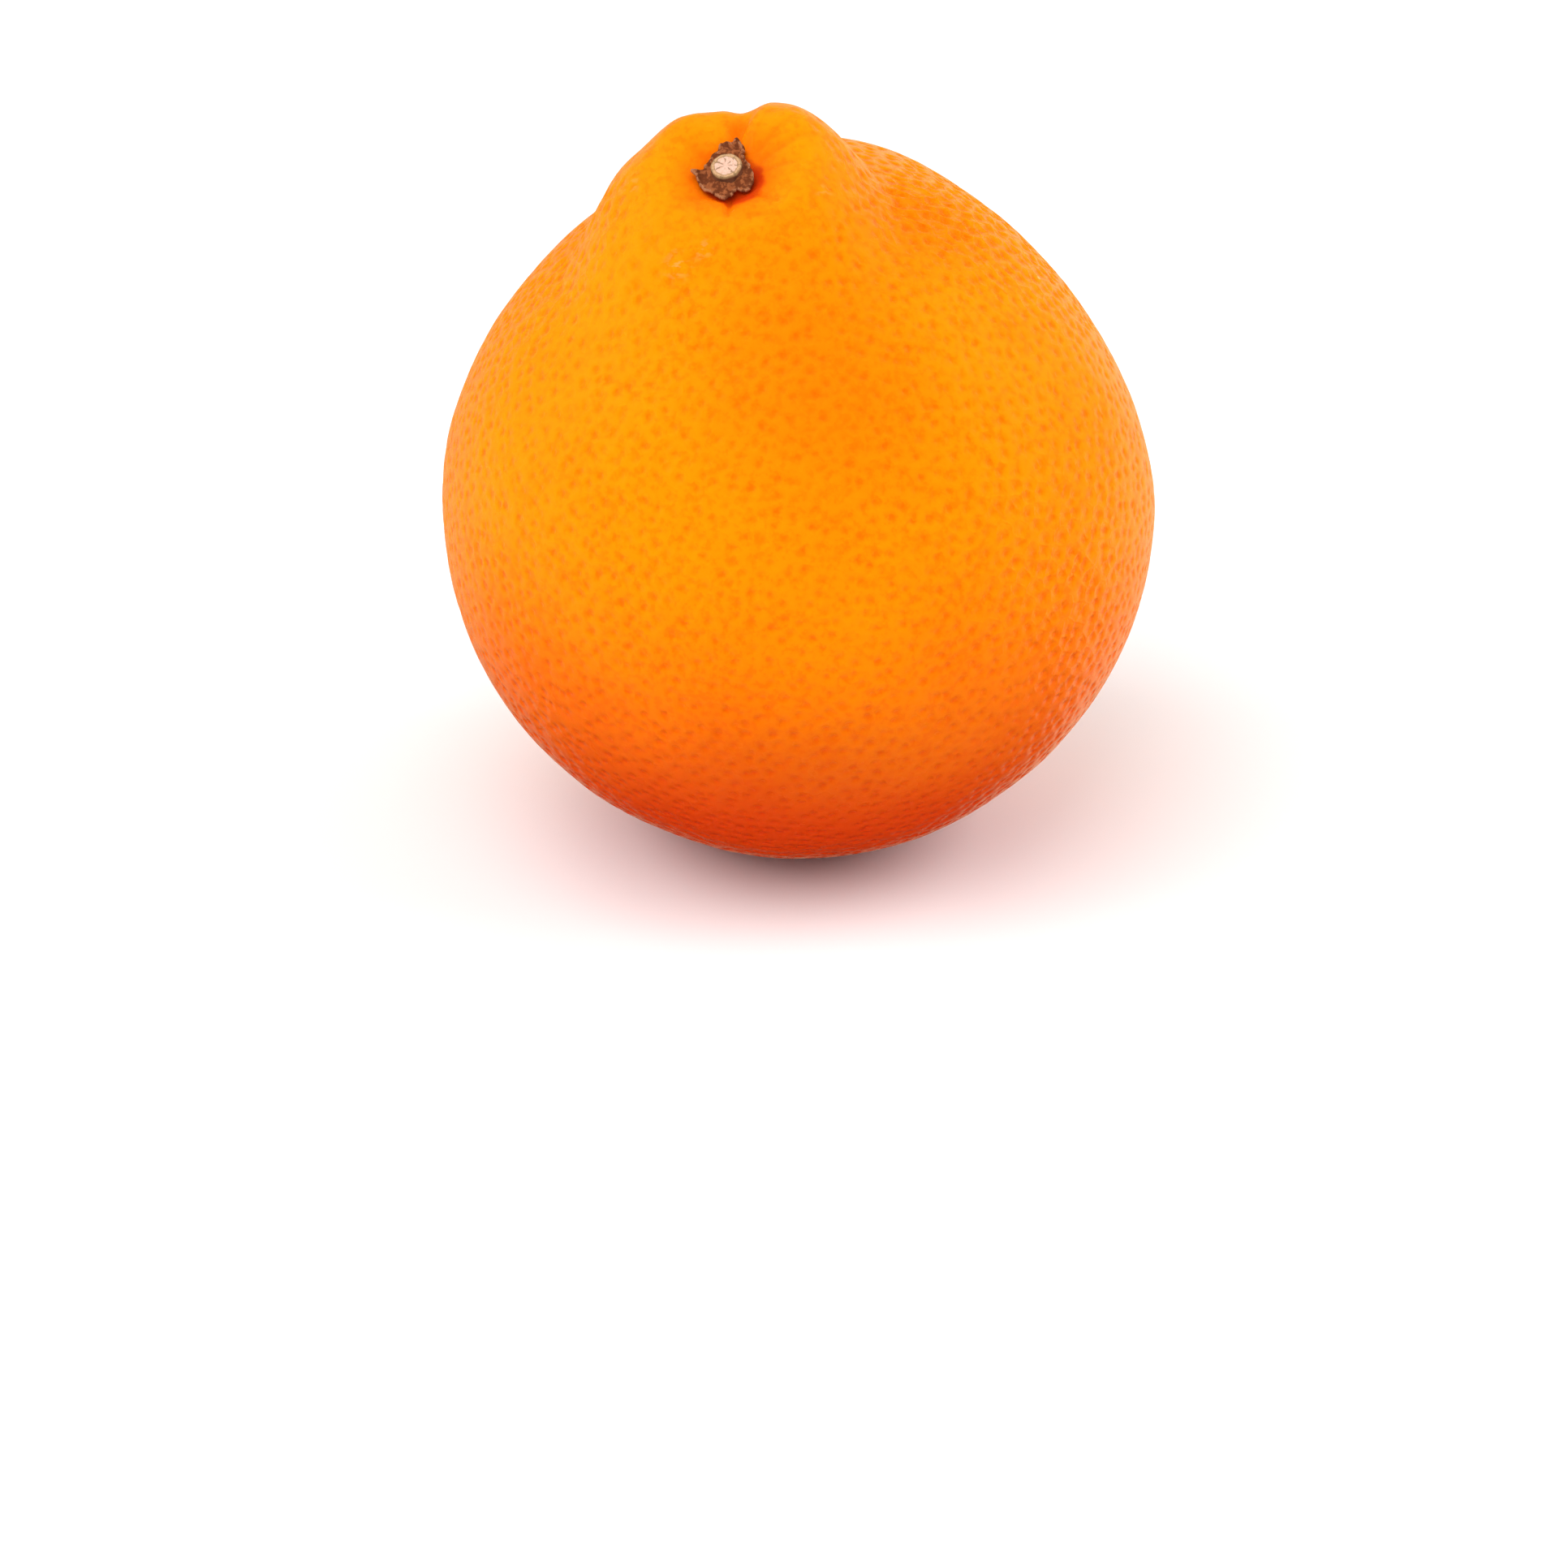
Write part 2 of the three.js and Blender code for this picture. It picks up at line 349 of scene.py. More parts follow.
def makePeel():
    piece = finishMesh(sphereFromCube(), "peel")
    mesh = piece.data
    even = np.tan(readPoints(mesh) * np.pi / 4)
    even = even / np.linalg.norm(even, axis=1)[:, None]
    polar = np.arccos(np.clip(even[:, 2], -1, 1))
    turn = np.arctan2(even[:, 1], even[:, 0])
    polar = polar - peelDetail["crowding"] * np.sin(polar) * (1 + np.cos(polar)) / 2
    across = np.sin(polar)
    directions = np.stack([across * np.cos(turn), across * np.sin(turn), np.cos(polar)], axis=-1)
    u, v = mapOf(directions)
    points = directions * detailedRadius(directions, u, v)[:, None]

    poreCentres, poreStrength = placePores()
    poreTree = kdtree.KDTree(len(poreCentres))
    for number, spot in enumerate(poreCentres):
        poreTree.insert(spot, number)
    poreTree.balance()
    number, distance = nearestPores(points, poreTree)
    pebble = patchesAt(pebbles, u, v)
    dip = (pores["depth"] + pores["pebbleDepth"] * pebble) * poreStrength[number[:, 0]]
    dip = dip * np.exp(-(distance[:, 0] / pores["width"]) ** 2)
    points = points - directions * dip[:, None]
    world = toWorld(points)
    world[:, 2] = np.maximum(world[:, 2], 0)  # the flat spot that it rests on
    writePoints(mesh, world)

    corners = np.empty(len(mesh.polygons) * 4, dtype=int)
    mesh.loops.foreach_get("vertex_index", corners)
    middles = points[corners.reshape(-1, 4)].mean(axis=1)
    number, distance = nearestPores(middles, poreTree)
    centres = toWorld(poreCentres)
    store(mesh, "poreCentre", "FLOAT_VECTOR", "FACE", centres[number[:, 0]])
    store(mesh, "nextPore", "FLOAT_VECTOR", "FACE", centres[number[:, 1]])
    store(mesh, "poreStrength", "FLOAT", "FACE", poreStrength[number[:, 0]])
    creaseShade = np.zeros(len(u))
    for crease in creases:
        distance, along = awayFromLine(crease["start"], crease["end"], u, v)
        shade = bell(distance / crease["width"]) * (1 - 0.6 * along)
        creaseShade = np.maximum(creaseShade, shade)
    store(mesh, "stemMap", "FLOAT_VECTOR", "POINT", np.stack([u, v, creaseShade], axis=-1))
    for number, patch in enumerate(wrinkles):
        angle, strength = foldsOf(patch, u, v)
        store(mesh, f"folds{number}", "FLOAT_VECTOR", "POINT", np.stack([angle, strength, 0 * u], axis=-1))
    store(mesh, "paintedLightAndShade", "FLOAT", "POINT", patchesAt(lightAndShadePatches, u, v))
    store(mesh, "scuff", "FLOAT", "POINT", patchesAt(scuffs, u, v))
    store(mesh, "pebble", "FLOAT", "POINT", pebble)
    return piece


calyx = {
    "outline": [  # angle in degrees from the right, and how far out the edge is
        (2, 2.4), (24, 2.2), (44, 2.4), (57, 3.3), (67, 4.3), (76, 5.1), (82, 4.3), (95, 3.8), (107, 2.8),
        (139, 2.3), (166, 2.5), (172, 3.0), (177, 3.7), (184, 3.2), (206, 3.3), (235, 3.2), (262, 3.8),
        (270, 3.5), (278, 2.8), (290, 2.75), (298, 3.3), (308, 3.5), (322, 3.25), (338, 2.9),
    ],
    "rings": 16,
    "spokes": 180,
    "crown": 0.75,  # height of the middle over the peel
    "edge": 0.34,
    "curl": 0.28,
    "thickness": 0.3,
    "hornTurn": 177,  # degrees, the thin horn on the left
    "hornSpread": 0.2,
    "hornLift": 0.55,
    "wood": {"waves": 1.6, "rise": 0.16, "layer": 3.0},
    "fine": {"waves": 4.5, "rise": 0.04, "layer": 7.0},
    "fibres": {"count": 23, "rise": 0.02},
}


def edgeDistance(turn):
    angles = np.array([point[0] for point in calyx["outline"]], dtype=float)
    reach = np.array([point[1] for point in calyx["outline"]])
    angles = np.concatenate([angles[-2:] - 360, angles, angles[:2] + 360])
    reach = np.concatenate([reach[-2:], reach, reach[:2]])
    degrees = np.degrees(turn) % 360
    slot = np.clip(np.searchsorted(angles, degrees) - 1, 0, len(angles) - 2)
    part = (degrees - angles[slot]) / (angles[slot + 1] - angles[slot])
    part = part * part * (3 - 2 * part)
    ragged = 0.035 * np.sin(turn * 17) * np.sin(turn * 5 + 1) + 0.015 * np.sin(turn * 41 + 2)
    return reach[slot] * (1 - part) + reach[slot + 1] * part + ragged


def woodNoise(x, y, waves, layer):
    return np.array([noise.noise(Vector((a * waves, b * waves, layer))) for a, b in zip(x, y)])


def onPeel(x, y, lift):  # a point over the stem end, laid on the peel and lifted off it
    u = button["place"][0] + x / button["stretch"]
    v = button["place"][1] + y / button["stretch"]
    directions = directionsAt(u, v)
    return directions * (plainRadius(u, v) + lift)[:, None]


def growRim(form, rim):
    grown = bmesh.ops.extrude_edge_only(form, edges=rim)
    return [item for item in grown["geom"] if isinstance(item, bmesh.types.BMEdge) and item.is_boundary]


def discWithRings(rings, spokes):
    form = bmesh.new()
    bmesh.ops.create_circle(form, cap_ends=True, cap_tris=True, segments=spokes, radius=1 / rings)
    rim = [edge for edge in form.edges if edge.is_boundary]
    for ring in range(2, rings + 1):
        rim = growRim(form, rim)
        for corner in {corner for edge in rim for corner in edge.verts}:
            corner.co = corner.co.normalized() * (ring / rings)
    return form, rim


def makeCalyx():
    form, _ = discWithRings(calyx["rings"], calyx["spokes"])
    bmesh.ops.recalc_face_normals(form, faces=form.faces[:])
    piece = finishMesh(form, "driedCalyx")
    flat = readPoints(piece.data)
    out = np.hypot(flat[:, 0], flat[:, 1])
    turn = np.arctan2(flat[:, 1], flat[:, 0])
    reach = edgeDistance(turn) * out
    x = reach * np.cos(turn)
    y = reach * np.sin(turn)
    wood = woodNoise(x, y, calyx["wood"]["waves"], calyx["wood"]["layer"])
    fine = woodNoise(x, y, calyx["fine"]["waves"], calyx["fine"]["layer"])
    fibres = np.sin(turn * calyx["fibres"]["count"] + 2.5 * wood) * np.clip(out * 1.5, 0, 1)
    horn = bell((np.abs(turn) - math.radians(calyx["hornTurn"])) / calyx["hornSpread"])
    horn = horn * smoothStep(0.7, 1.0, out)
    lift = calyx["crown"] + (calyx["edge"] - calyx["crown"]) * smoothStep(0.35, 1.0, out)
    lift = lift + calyx["curl"] * smoothStep(0.8, 1.0, out) * (0.5 + 0.5 * np.sin(turn * 3 + 0.6))
    lift = lift + calyx["hornLift"] * horn + calyx["fibres"]["rise"] * fibres
    lift = lift + calyx["wood"]["rise"] * wood + calyx["fine"]["rise"] * fine
    points = onPeel(x, y, lift)
    writePoints(piece.data, toWorld(points))
    store(piece.data, "woodPlace", "FLOAT_VECTOR", "POINT", np.stack([x, y, out], axis=-1))
    shell = piece.modifiers.new("shell", "SOLIDIFY")
    shell.thickness = calyx["thickness"] * mm
    shell.offset = -1
    return piece


stub = {
    "radius": 1.65,
    "foot": 0.35,  # height of its foot over the peel
    "face": 1.35,
    "rings": 12,
    "levels": 6,
    "spokes": 96,
    "flare": 0.1,
    "roughness": 0.05,
    "roundedEdge": 0.1,
    "faceGrain": {"waves": 2.4, "rise": 0.05, "layer": 1.0},
    "groove": {"at": 0.72, "width": 0.1, "depth": 0.06},  # ring between wood and rind
}


def makeStub():
    form, rim = discWithRings(stub["rings"], stub["spokes"])
    for level in range(1, stub["levels"] + 1):
        rim = growRim(form, rim)
        for corner in {corner for edge in rim for corner in edge.verts}:
            corner.co.z = -level / stub["levels"]
    bmesh.ops.holes_fill(form, edges=rim)
    bmesh.ops.recalc_face_normals(form, faces=form.faces[:])
    piece = finishMesh(form, "cutStem")
    flat = readPoints(piece.data)
    out = np.hypot(flat[:, 0], flat[:, 1])
    turn = np.arctan2(flat[:, 1], flat[:, 0])
    down = -flat[:, 2]
    bark = np.stack([2.2 * np.cos(turn), 2.2 * np.sin(turn), 2 * down], axis=-1)
    rough = moundNoise(bark, 1.0) * smoothStep(0.9, 1.0, out)
    reach = stub["radius"] * out * (1 + stub["roughness"] * rough + stub["flare"] * down ** 2)
    x = reach * np.cos(turn)
    y = reach * np.sin(turn)
    faceGrain = stub["faceGrain"]
    groove = stub["groove"]
    face = stub["face"] - stub["roundedEdge"] * smoothStep(0.86, 1.0, out)
    face = face + faceGrain["rise"] * woodNoise(x, y, faceGrain["waves"], faceGrain["layer"])
    face = face - groove["depth"] * bell((out - groove["at"]) / groove["width"])
    lift = face + (stub["foot"] - face) * down
    seat = onPeel(np.zeros(1), np.zeros(1), np.zeros(1))[0]
    ahead = onPeel(np.array([0.0, 0.0, 1.0]), np.array([1.0, -1.0, 0.0]), np.zeros(3))
    back = ahead[0] - ahead[1]
    right = ahead[2] - seat
    up = np.cross(right, back)
    up = up / np.linalg.norm(up)
    right = right / np.linalg.norm(right)
    back = np.cross(up, right)
    points = seat + x[:, None] * right + y[:, None] * back + lift[:, None] * up
    writePoints(piece.data, toWorld(points))
    store(piece.data, "woodPlace", "FLOAT_VECTOR", "POINT", np.stack([x, y, lift], axis=-1))
    return piece


class Wire:  # a socket that takes part in sums
    def __init__(self, bench, socket):
        self.bench = bench
        self.socket = socket

    def sum(self, operation, *values):
        return self.bench.node("ShaderNodeMath", {"operation": operation}, dict(enumerate(values)))

    def __add__(self, other):
        return self.sum("ADD", self, other)

    def __radd__(self, other):
        return self.sum("ADD", other, self)

    def __sub__(self, other):
        return self.sum("SUBTRACT", self, other)

    def __rsub__(self, other):
        return self.sum("SUBTRACT", other, self)

    def __mul__(self, other):
        return self.sum("MULTIPLY", self, other)

    def __rmul__(self, other):
        return self.sum("MULTIPLY", other, self)

    def __pow__(self, other):
        return self.sum("POWER", self, other)

    def __abs__(self):
        return self.sum("ABSOLUTE", self)


class Bench:  # one material, or the sky, and its nodes
    def __init__(self, name, isSky=False):
        library = bpy.data.worlds if isSky else bpy.data.materials
        self.material = library.new(name)
        self.material.use_nodes = True
        self.tree = self.material.node_tree
        self.shader = next(node for node in self.tree.nodes if node.type in {"BSDF_PRINCIPLED", "BACKGROUND"})

    def node(self, kind, settings, inputs, output=0):
        made = self.tree.nodes.new(kind)
        for name, value in settings.items():
            setattr(made, name, value)
        for name, value in inputs.items():
            self.plug(made.inputs[name], value)
        return Wire(self, made.outputs[output])

    def plug(self, socket, value):
        if isinstance(value, Wire):
            self.tree.links.new(value.socket, socket)
        else:
            socket.default_value = value

    def place(self):
        return self.node("ShaderNodeTexCoord", {}, {}, "Object")

    def attribute(self, name, output="Vector"):
        return self.node("ShaderNodeAttribute", {"attribute_name": name}, {}, output)

    def grain(self, vector, scale, detail=2.0, roughness=0.5):
        inputs = {"Vector": vector, "Scale": scale, "Detail": detail, "Roughness": roughness}
        return self.node("ShaderNodeTexNoise", {}, inputs)

    def ease(self, value, low, high, start=0.0, end=1.0):
        inputs = {"Value": value, "From Min": low, "From Max": high, "To Min": start, "To Max": end}
        return self.node("ShaderNodeMapRange", {"interpolation_type": "SMOOTHSTEP"}, inputs)

    def blend(self, part, first, second, how="MIX"):
        settings = {"data_type": "RGBA", "blend_type": how}
        return self.node("ShaderNodeMix", settings, {0: part, 6: first, 7: second}, 2)

    def vector(self, operation, first, second):
        return self.node("ShaderNodeVectorMath", {"operation": operation}, {0: first, 1: second})

    def lengthOf(self, vector):
        return self.node("ShaderNodeVectorMath", {"operation": "LENGTH"}, {0: vector}, "Value")

    def beside(self, wire, output):  # another output of the node that the wire comes from
        return Wire(self, wire.socket.node.outputs[output])

    def parts(self, vector):
        first = self.node("ShaderNodeSeparateXYZ", {}, {0: vector})
        return [self.beside(first, axis) for axis in range(3)]

    def awayFrom(self, place, u, v):
        return ((u - place[0]) * (u - place[0]) + (v - place[1]) * (v - place[1])) ** 0.5

    def bump(self, height):
        return self.node("ShaderNodeBump", {}, {"Height": height, "Strength": 1.0, "Distance": 1.0})

    def feed(self, **values):
        for name, value in values.items():
            self.plug(self.shader.inputs[name.replace("_", " ")], value)


peelLook = {
    "orange": (0.88, 0.195, 0.001, 1),
    "golden": (0.94, 0.25, 0.001, 1),
    "deep": (0.83, 0.135, 0.0008, 1),
    # painted shade for the low front of the peel
    "lowShade": (0.63, 0.042, 0.0005, 1),
    "pitTint": (0.98, 0.74, 0.6, 1),
    "ridgeHighlight": (1.04, 1.22, 1.1, 1),
    # colours round the calyx: partly the peel's own, partly painted shade in the well
    "wellOrange": (0.72, 0.11, 0.001, 1),
    "wellRed": (0.5, 0.028, 0.002, 1),
    "speck": (0.95, 0.52, 0.2, 1),
    "scuff": (0.98, 0.36, 0.12, 1),
    "scar": (0.35, 0.13, 0.03, 1),
    "grains": {"broad": (38.0, 3.0, 0.5), "mottle": (260.0, 3.0, 0.6), "fine": (1100.0, 3.0, 0.6)},
    "layers": [  # grain, where it starts to show, where it shows in full, how much, colour
        ("broad", 0.3, 0.7, 0.6, "golden"),
        ("mottle", 0.42, 0.7, 0.3, "golden"),
        ("mottle", 0.5, 0.25, 0.12, "deep"),
        ("fine", 0.42, 0.62, 0.45, "golden"),
        ("fine", 0.5, 0.36, 0.4, "deep"),
    ],
    "lowShadePlace": (0.0, -0.02, 0.004),  # painted shade: the peel is painted deeper orange low down at the front
    "lowShadeStretch": (0.6, 1, 1),
    "lowShadeFrom": 48.5,  # millimetres from there
    "lowShadeTo": 13.0,
    "lowShadeRagged": 12.0,
    "pit": {"edge": 0.52, "floor": 0.08, "shade": 0.62, "deep": 0.08},  # widths and depths in millimetres
    "dish": {"edge": 1.0, "floor": 0.1, "shade": 0.34, "deep": 0.1, "pebbled": 0.22},
    "ridge": {"edge": 0.42, "shade": 0.45, "high": 0.01, "pebbled": 0.12},
    "crest": {"edge": 0.34, "shade": 0.6, "high": 0.07, "fullDepth": 0.15},
    "ragged": {"pit": 0.2, "ridge": 0.3},
    "grainHigh": 0.06,
    "scratch": {"stretch": (0.45, 1, 1), "scale": 1500.0, "from": 0.54, "to": 0.6, "shade": 0.35},
    "wellPlace": (-0.05, -0.7),  # on the stem map
    "wellRagged": 2.2,
    # rings round the calyx, partly the peel's own colour and partly painted shade in the well
    "wellRings": [(6.8, 2.8, 0.7, "wellOrange"), (3.3, 2.6, 0.7, "wellRed")],  # edge, full, how much, colour
    "gapPlace": (0.4, -1.7),  # painted shade in the gap under the calyx's front edge
    "gapRagged": 1.4,
    "gapEdge": 3.0,
    "gapFull": 2.3,
    "gapShade": 0.9,
    "creaseShade": 0.55,
    "dots": {"scale": 230.0, "edge": 0.07, "full": 0.03, "rareFrom": 0.9, "rareTo": 0.93, "shade": 0.6},
    "scarFrom": 1.7,
    "scarTo": 0.7,
    "scarShade": 0.8,
}


def peelMaterial():
    bench = Bench("peel")
    look = peelLook
    place = bench.place()
    u, v, creaseShade = bench.parts(bench.attribute("stemMap"))
    grains = {name: bench.grain(place, *grain) for name, grain in look["grains"].items()}
    broad, mottle, fine = grains["broad"], grains["mottle"], grains["fine"]
    colour = look["orange"]
    for grain, low, high, part, name in look["layers"]:
        colour = bench.blend(bench.ease(grains[grain], low, high) * part, colour, look[name])

    # painted light and shade: more golden where more light falls, deeper orange in the shade
    paintedLightAndShade = bench.attribute("paintedLightAndShade", "Fac")
    colour = bench.blend(bench.ease(paintedLightAndShade, 0.0, 1.0), colour, look["golden"])
    colour = bench.blend(bench.ease(paintedLightAndShade, 0.0, -1.0), colour, look["deep"])

    # painted shade: deeper orange low down at the front
    fromLowShade = bench.vector("SUBTRACT", place, look["lowShadePlace"])
    fromLowShade = bench.lengthOf(bench.vector("MULTIPLY", fromLowShade, look["lowShadeStretch"])) * perMetre
    fromLowShade = fromLowShade + (broad - 0.5) * look["lowShadeRagged"]
    colour = bench.blend(bench.ease(fromLowShade, look["lowShadeFrom"], look["lowShadeTo"]), colour, look["lowShade"])

    # pits, the edges between them, and the crests of the fine folds; the edges and crests carry a painted
    # highlight
    distance = bench.lengthOf(bench.vector("SUBTRACT", place, bench.attribute("poreCentre"))) * perMetre
    toNext = bench.lengthOf(bench.vector("SUBTRACT", place, bench.attribute("nextPore"))) * perMetre
    between = abs(toNext - distance)
    distance = distance + (fine - 0.5) * look["ragged"]["pit"]
    strength = bench.attribute("poreStrength", "Fac")
    pebble = bench.attribute("pebble", "Fac")
    pit = bench.ease(distance, look["pit"]["edge"], look["pit"]["floor"]) * strength
    dish = bench.ease(distance, look["dish"]["edge"], look["dish"]["floor"]) * strength
    ragged = (fine - 0.5) * look["ragged"]["ridge"]
    ridge = bench.ease(between + ragged, look["ridge"]["edge"], 0.0) * bench.ease(mottle, 0.3, 0.6)
    crest = 0.0
    for number, patch in enumerate(wrinkles):
        angle, foldStrength, _ = bench.parts(bench.attribute(f"folds{number}"))
        wave = abs(bench.node("ShaderNodeMath", {"operation": "SINE"}, {0: angle}))
        share = foldStrength * (patch["depth"] / look["crest"]["fullDepth"])
        crest = crest + bench.ease(wave + ragged, look["crest"]["edge"], 0.0) * share
    crest = crest * bench.ease(mottle, 0.36, 0.6)
    colour = bench.blend(dish * look["dish"]["shade"], colour, look["pitTint"], "MULTIPLY")
    colour = bench.blend(pit * look["pit"]["shade"], colour, look["pitTint"], "MULTIPLY")
    # painted highlight on the raised edges between pits and on the crests of the folds
    colour = bench.blend(ridge * pebble * look["ridge"]["shade"], colour, look["ridgeHighlight"], "MULTIPLY")
    colour = bench.blend(crest * look["crest"]["shade"], colour, look["ridgeHighlight"], "MULTIPLY")

    scratch = look["scratch"]
    streaks = bench.grain(bench.vector("MULTIPLY", place, scratch["stretch"]), scratch["scale"])
    scuffed = bench.ease(streaks, scratch["from"], scratch["to"]) * bench.attribute("scuff", "Fac")
    colour = bench.blend(scuffed * scratch["shade"], colour, look["scuff"])

    # the well round the calyx, deeper red-orange partly by the peel's own colour and partly as painted shade,
    # and painted shade in the gap under the calyx's front edge
    fromWell = bench.awayFrom(look["wellPlace"], u, v) + (mottle - 0.5) * look["wellRagged"]
    for edge, full, part, name in look["wellRings"]:
        colour = bench.blend(bench.ease(fromWell, edge, full) * part, colour, look[name])
    fromGap = bench.awayFrom(look["gapPlace"], u, v) + (mottle - 0.5) * look["gapRagged"]
    shadeUnderCalyx = bench.ease(fromGap, look["gapEdge"], look["gapFull"])
    colour = bench.blend(shadeUnderCalyx * look["gapShade"], colour, look["wellRed"])
    colour = bench.blend(creaseShade * look["creaseShade"], colour, look["wellOrange"])

    # a few pale specks, and the blossom scar
    specks = look["dots"]
    dots = bench.node("ShaderNodeTexVoronoi", {}, {"Vector": place, "Scale": specks["scale"]}, "Distance")
    luck = bench.parts(bench.beside(dots, "Color"))[0]
    rare = bench.ease(luck, specks["rareFrom"], specks["rareTo"])
    speck = bench.ease(dots, specks["edge"], specks["full"]) * rare
    colour = bench.blend(speck * specks["shade"], colour, look["speck"])
    fromBlossom = math.pi * body["radius"] - bench.awayFrom((0, 0), u, v) + (fine - 0.5)
    scarred = bench.ease(fromBlossom, look["scarFrom"], look["scarTo"])
    colour = bench.blend(scarred * look["scarShade"], colour, look["scar"])

    rough = 0.22 + mottle * 0.1 + pit * 0.06
    relief = (fine + mottle) * look["grainHigh"] - pit * look["pit"]["deep"]
    relief = relief - dish * (pebble * look["dish"]["pebbled"] + look["dish"]["deep"])
    relief = relief + ridge * (pebble * look["ridge"]["pebbled"] + look["ridge"]["high"])
    relief = relief + crest * look["crest"]["high"]
    bench.feed(Base_Color=colour, Roughness=rough, Normal=bench.bump(relief * mm))
    bench.feed(Subsurface_Weight=0.18, Subsurface_Radius=(1.0, 0.28, 0.05), Subsurface_Scale=0.002)
    bench.feed(IOR=1.45, Specular_IOR_Level=0.2, Specular_Tint=(1.0, 0.5, 0.05, 1.0))
    return bench.material


calyxLook = {
    "bark": (0.29, 0.082, 0.025, 1),
    "dark": (0.13, 0.03, 0.008, 1),
    "pale": (0.42, 0.18, 0.08, 1),
    "edge": (0.42, 0.2, 0.1, 1),
}


def calyxMaterial():
    bench = Bench("driedCalyx")
    place = bench.attribute("woodPlace")
    out = bench.parts(place)[2]
    patches = bench.grain(place, 1.5, 4.0, 0.65)
    fibres = bench.grain(place, 6.0, 3.0, 0.7)
    colour = bench.blend(bench.ease(patches, 0.44, 0.56), calyxLook["dark"], calyxLook["bark"])
    colour = bench.blend(bench.ease(fibres, 0.62, 0.74) * 0.4, colour, calyxLook["pale"])
    torn = bench.ease(out + (fibres - 0.5) * 0.35, 0.9, 1.0) * bench.ease(patches, 0.42, 0.58)
    colour = bench.blend(torn * 0.6, colour, calyxLook["edge"])
    relief = (fibres + patches * 2.0) * 0.06 * mm
    bench.feed(Base_Color=colour, Roughness=0.75 + fibres * 0.2, Normal=bench.bump(relief))
    bench.feed(Specular_IOR_Level=0.2)
    return bench.material


stubLook = {
    "wood": (0.6, 0.36, 0.26, 1),
    "inner": (0.66, 0.43, 0.33, 1),
    "ring": (0.3, 0.18, 0.08, 1),
    "rind": (0.52, 0.3, 0.16, 1),
    # painted shade on the stub's side, under its cut face
    "side": (0.13, 0.045, 0.02, 1),
    "crack": (0.34, 0.2, 0.11, 1),
    "rays": 7.0,  # cracks that run out from the middle
    "ringAt": (1.18, 1.24),  # millimetres from the middle, where each band starts and is full
    "rindAt": (1.26, 1.32),
    "rimAt": (1.5, 1.58),
    "sideShadeAt": (1.2, 0.95),  # height; below it the side is painted shade
}


def stubMaterial():
    bench = Bench("cutStem")
    place = bench.attribute("woodPlace")
    x, y, lift = bench.parts(place)
    speckle = bench.grain(place, 2.2, 3.0, 0.6)
    fine = bench.grain(place, 7.0, 2.0, 0.6)
    out = bench.awayFrom((0, 0), x, y) + (speckle - 0.5) * 0.3
    colour = bench.blend(bench.ease(fine, 0.35, 0.65), stubLook["wood"], stubLook["inner"])
    turn = bench.node("ShaderNodeMath", {"operation": "ARCTAN2"}, {0: y, 1: x})
    spokes = bench.node("ShaderNodeMath", {"operation": "SINE"}, {0: turn * stubLook["rays"] + speckle * 5.0})
    crack = bench.ease(spokes, 0.7, 0.92) * bench.ease(out, 0.15, 0.4) * bench.ease(speckle, 0.47, 0.54)
    colour = bench.blend(crack * 0.95, colour, stubLook["crack"])
    inRind = bench.ease(out, *stubLook["rindAt"])
    colour = bench.blend(bench.ease(out, *stubLook["ringAt"]), colour, stubLook["ring"])
    colour = bench.blend(inRind, colour, stubLook["rind"])
    colour = bench.blend(bench.ease(fine, 0.5, 0.58) * inRind * 0.6, colour, stubLook["ring"])
    colour = bench.blend(bench.ease(out, *stubLook["rimAt"]), colour, stubLook["ring"])
    # painted shade on the stub's side
    colour = bench.blend(bench.ease(lift, *stubLook["sideShadeAt"]), colour, stubLook["side"])
    relief = (fine * 0.5 + speckle) * 0.08 - crack * 0.1
    bench.feed(Base_Color=colour, Roughness=0.72 + fine * 0.2, Normal=bench.bump(relief * mm))
    bench.feed(Specular_IOR_Level=0.2)
    return bench.material


def settle(piece, node, material):
    piece.data.materials.append(material)
    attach(piece, "root")
    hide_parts(node)


settle(makePeel(), "fruit", peelMaterial())
print("peel done")
settle(makeCalyx(), "calyx", calyxMaterial())
settle(makeStub(), "stem_stub", stubMaterial())
print("calyx and cut stem done")

studio = {
    "floorSize": 8.0,
    "floorColour": (0.84, 0.84, 0.835, 1),
    "sky": 0.6,
    "skyInGloss": {"front": 0.02, "left": 0.6, "right": 1.0},  # the peel mirrors a dim room
    "backdropFrom": 0.52,  # and a pale backdrop, by how far to the back it starts and is full
    "backdropTo": 0.88,
    "backdropTurn": 0.3,  # the stretch to either side of the middle where left becomes right
    "glossColour": (1.0, 0.84, 0.55, 1),
    "cameraDistance": 0.488,
    "cameraHeightAngle": 24.0,
    "aimBelow": 3.72,
    "aimLeft": 0.21,
    "lens": 99.2,
    "lights": [  # name, place, size, power
        ("keyLight", (-0.28, -0.42, 0.8), 0.9, 6.9),
        ("leftPanel", (-0.82, -0.1, 0.5), 0.7, 3.9),
        ("rightPanel", (0.8, -0.02, 0.55), 0.7, 5.6),
        ("rightRim", (0.78, 0.42, 0.42), 0.45, 1.3),
    ],
}


def makeFloor():
    form = bmesh.new()
    bmesh.ops.create_grid(form, x_segments=1, y_segments=1, size=studio["floorSize"] / 2)
    floor = finishMesh(form, "floor")
    bench = Bench("floor")
    bench.feed(Base_Color=studio["floorColour"], Roughness=0.9)
    floor.data.materials.append(bench.material)
    floor.visible_glossy = False


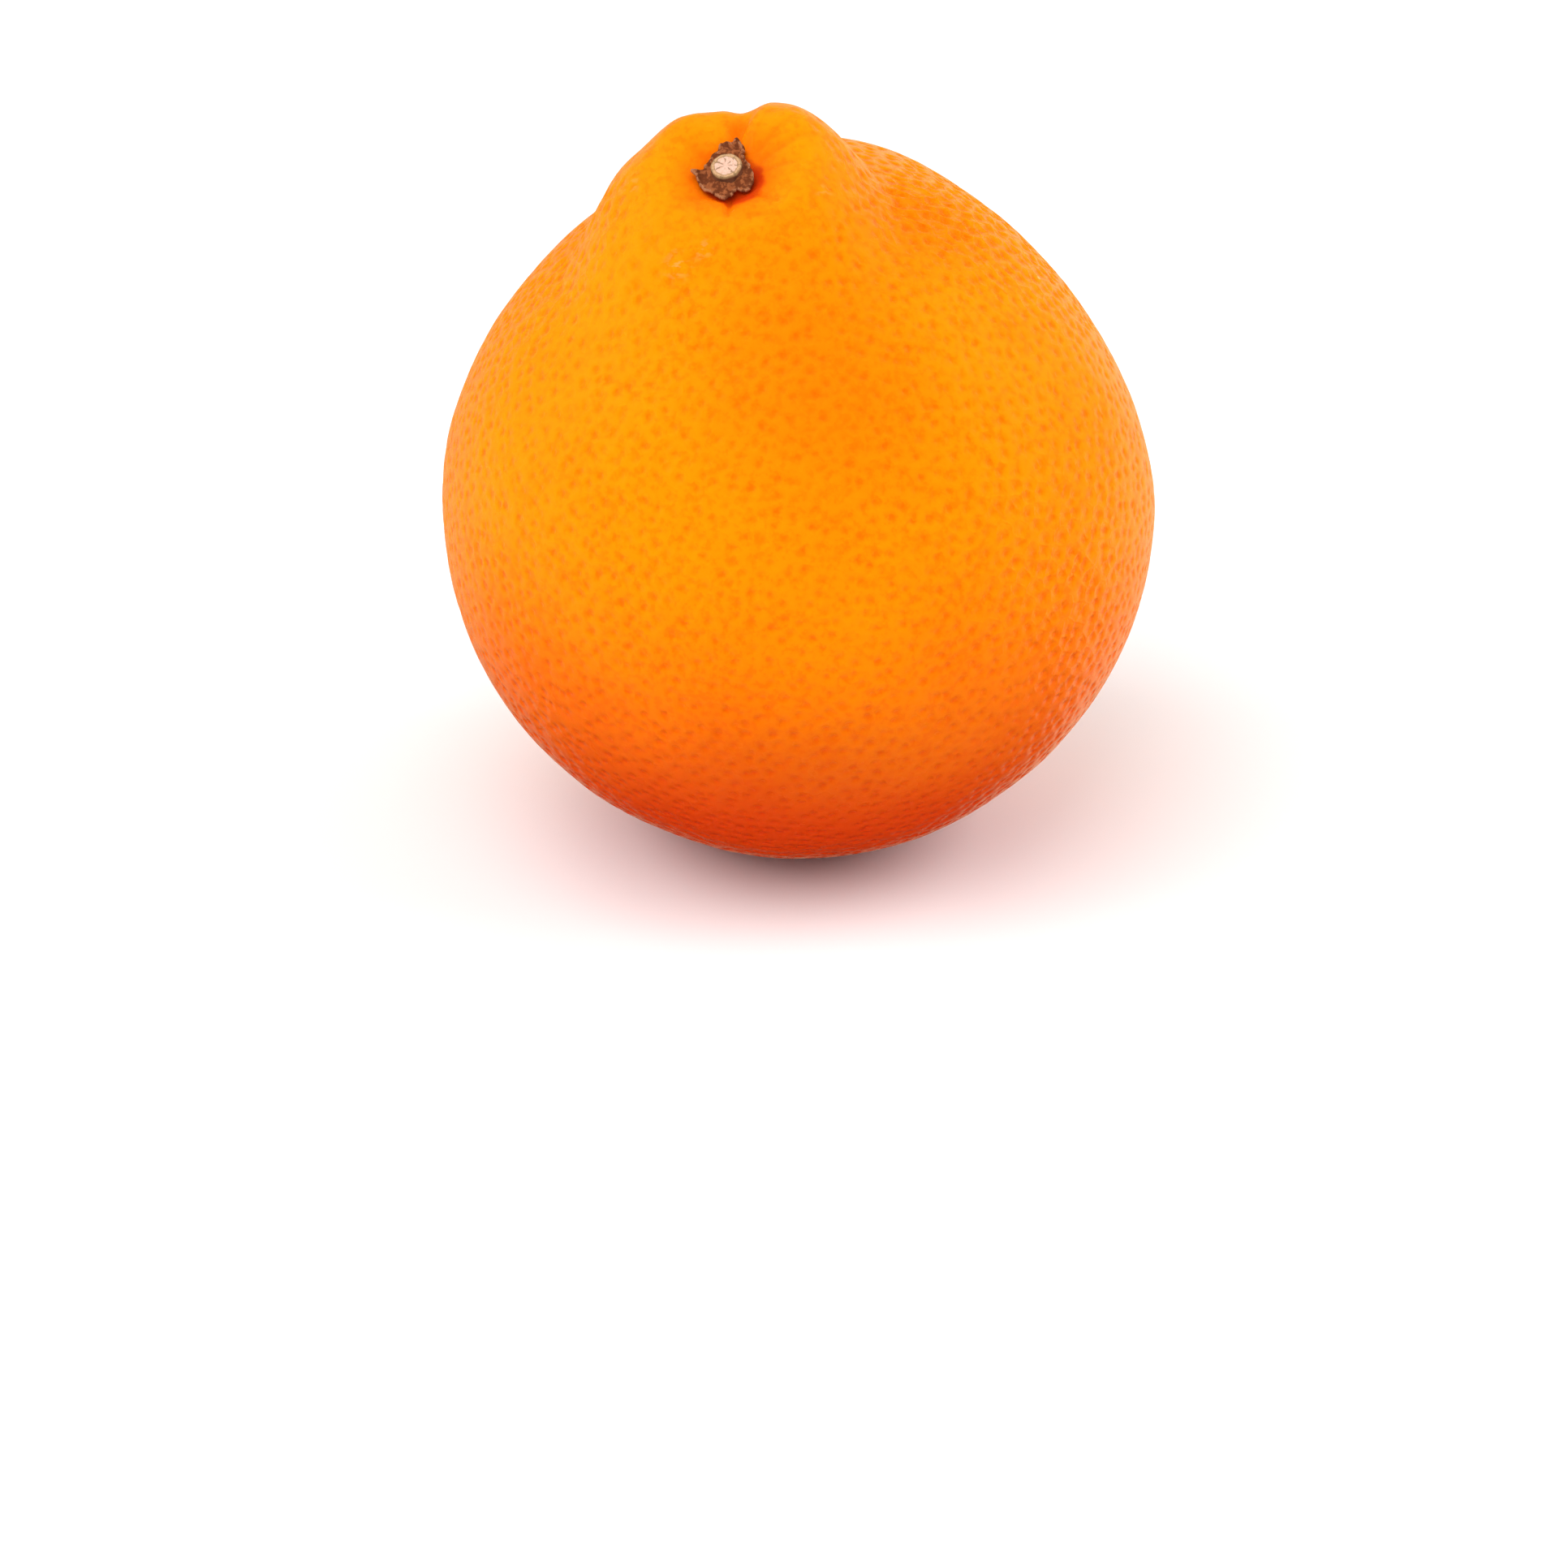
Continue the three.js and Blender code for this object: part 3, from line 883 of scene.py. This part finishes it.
def makeLights():
    bench = Bench("sky", isSky=True)
    bpy.context.scene.world = bench.material
    sky = studio["sky"]
    inGloss = studio["skyInGloss"]
    turn = studio["backdropTurn"]
    toRight, toBack, up = bench.parts(bench.node("ShaderNodeTexCoord", {}, {}, "Generated"))
    glossRay = bench.node("ShaderNodeLightPath", {}, {}, "Is Glossy Ray")
    viewRay = bench.beside(glossRay, "Is Camera Ray")
    backness = toBack - bench.ease(up, 0.0, 1.0, 0.0, 0.5) - bench.ease(up, -0.55, -0.8, 0.0, 0.25)
    backness = backness + abs(toRight) * bench.ease(up, 0.0, -0.25, 0.0, 0.5)
    backdrop = bench.ease(backness, studio["backdropFrom"], studio["backdropTo"])
    backdrop = backdrop * bench.ease(toRight, -turn, turn, inGloss["left"], inGloss["right"])
    colour = bench.blend(glossRay, (1, 1, 1, 1), studio["glossColour"])
    strength = sky + glossRay * (backdrop + inGloss["front"] - sky) + viewRay * (1 - sky)
    bench.feed(Color=colour, Strength=strength)
    middle = Vector(bodyCentre) * mm
    for name, place, size, power in studio["lights"]:
        lamp = bpy.data.lights.new(name, "AREA")
        lamp.size = size
        lamp.energy = power
        holder = bpy.data.objects.new(name, lamp)
        holder.location = Vector(place)
        holder.visible_glossy = False
        holder.rotation_euler = (Vector(place) - middle).to_track_quat("Z", "Y").to_euler()
        bpy.context.scene.collection.objects.link(holder)


def makeCamera():
    height = math.radians(studio["cameraHeightAngle"])
    back = Vector((0, -math.cos(height), math.sin(height)))
    camera = bpy.data.cameras.new("camera")
    camera.sensor_width = 36
    camera.lens = studio["lens"]
    camera.clip_start = 0.01
    holder = bpy.data.objects.new("camera", camera)
    holder.location = Vector(bodyCentre) * mm + back * studio["cameraDistance"]
    tilt = math.radians(90 - studio["cameraHeightAngle"] - studio["aimBelow"])
    holder.rotation_euler = (tilt, 0, math.radians(studio["aimLeft"]))
    bpy.context.scene.collection.objects.link(holder)
    bpy.context.scene.camera = holder


makeFloor()
makeLights()
makeCamera()
bpy.context.scene.view_settings.view_transform = "Standard"
print("studio done")
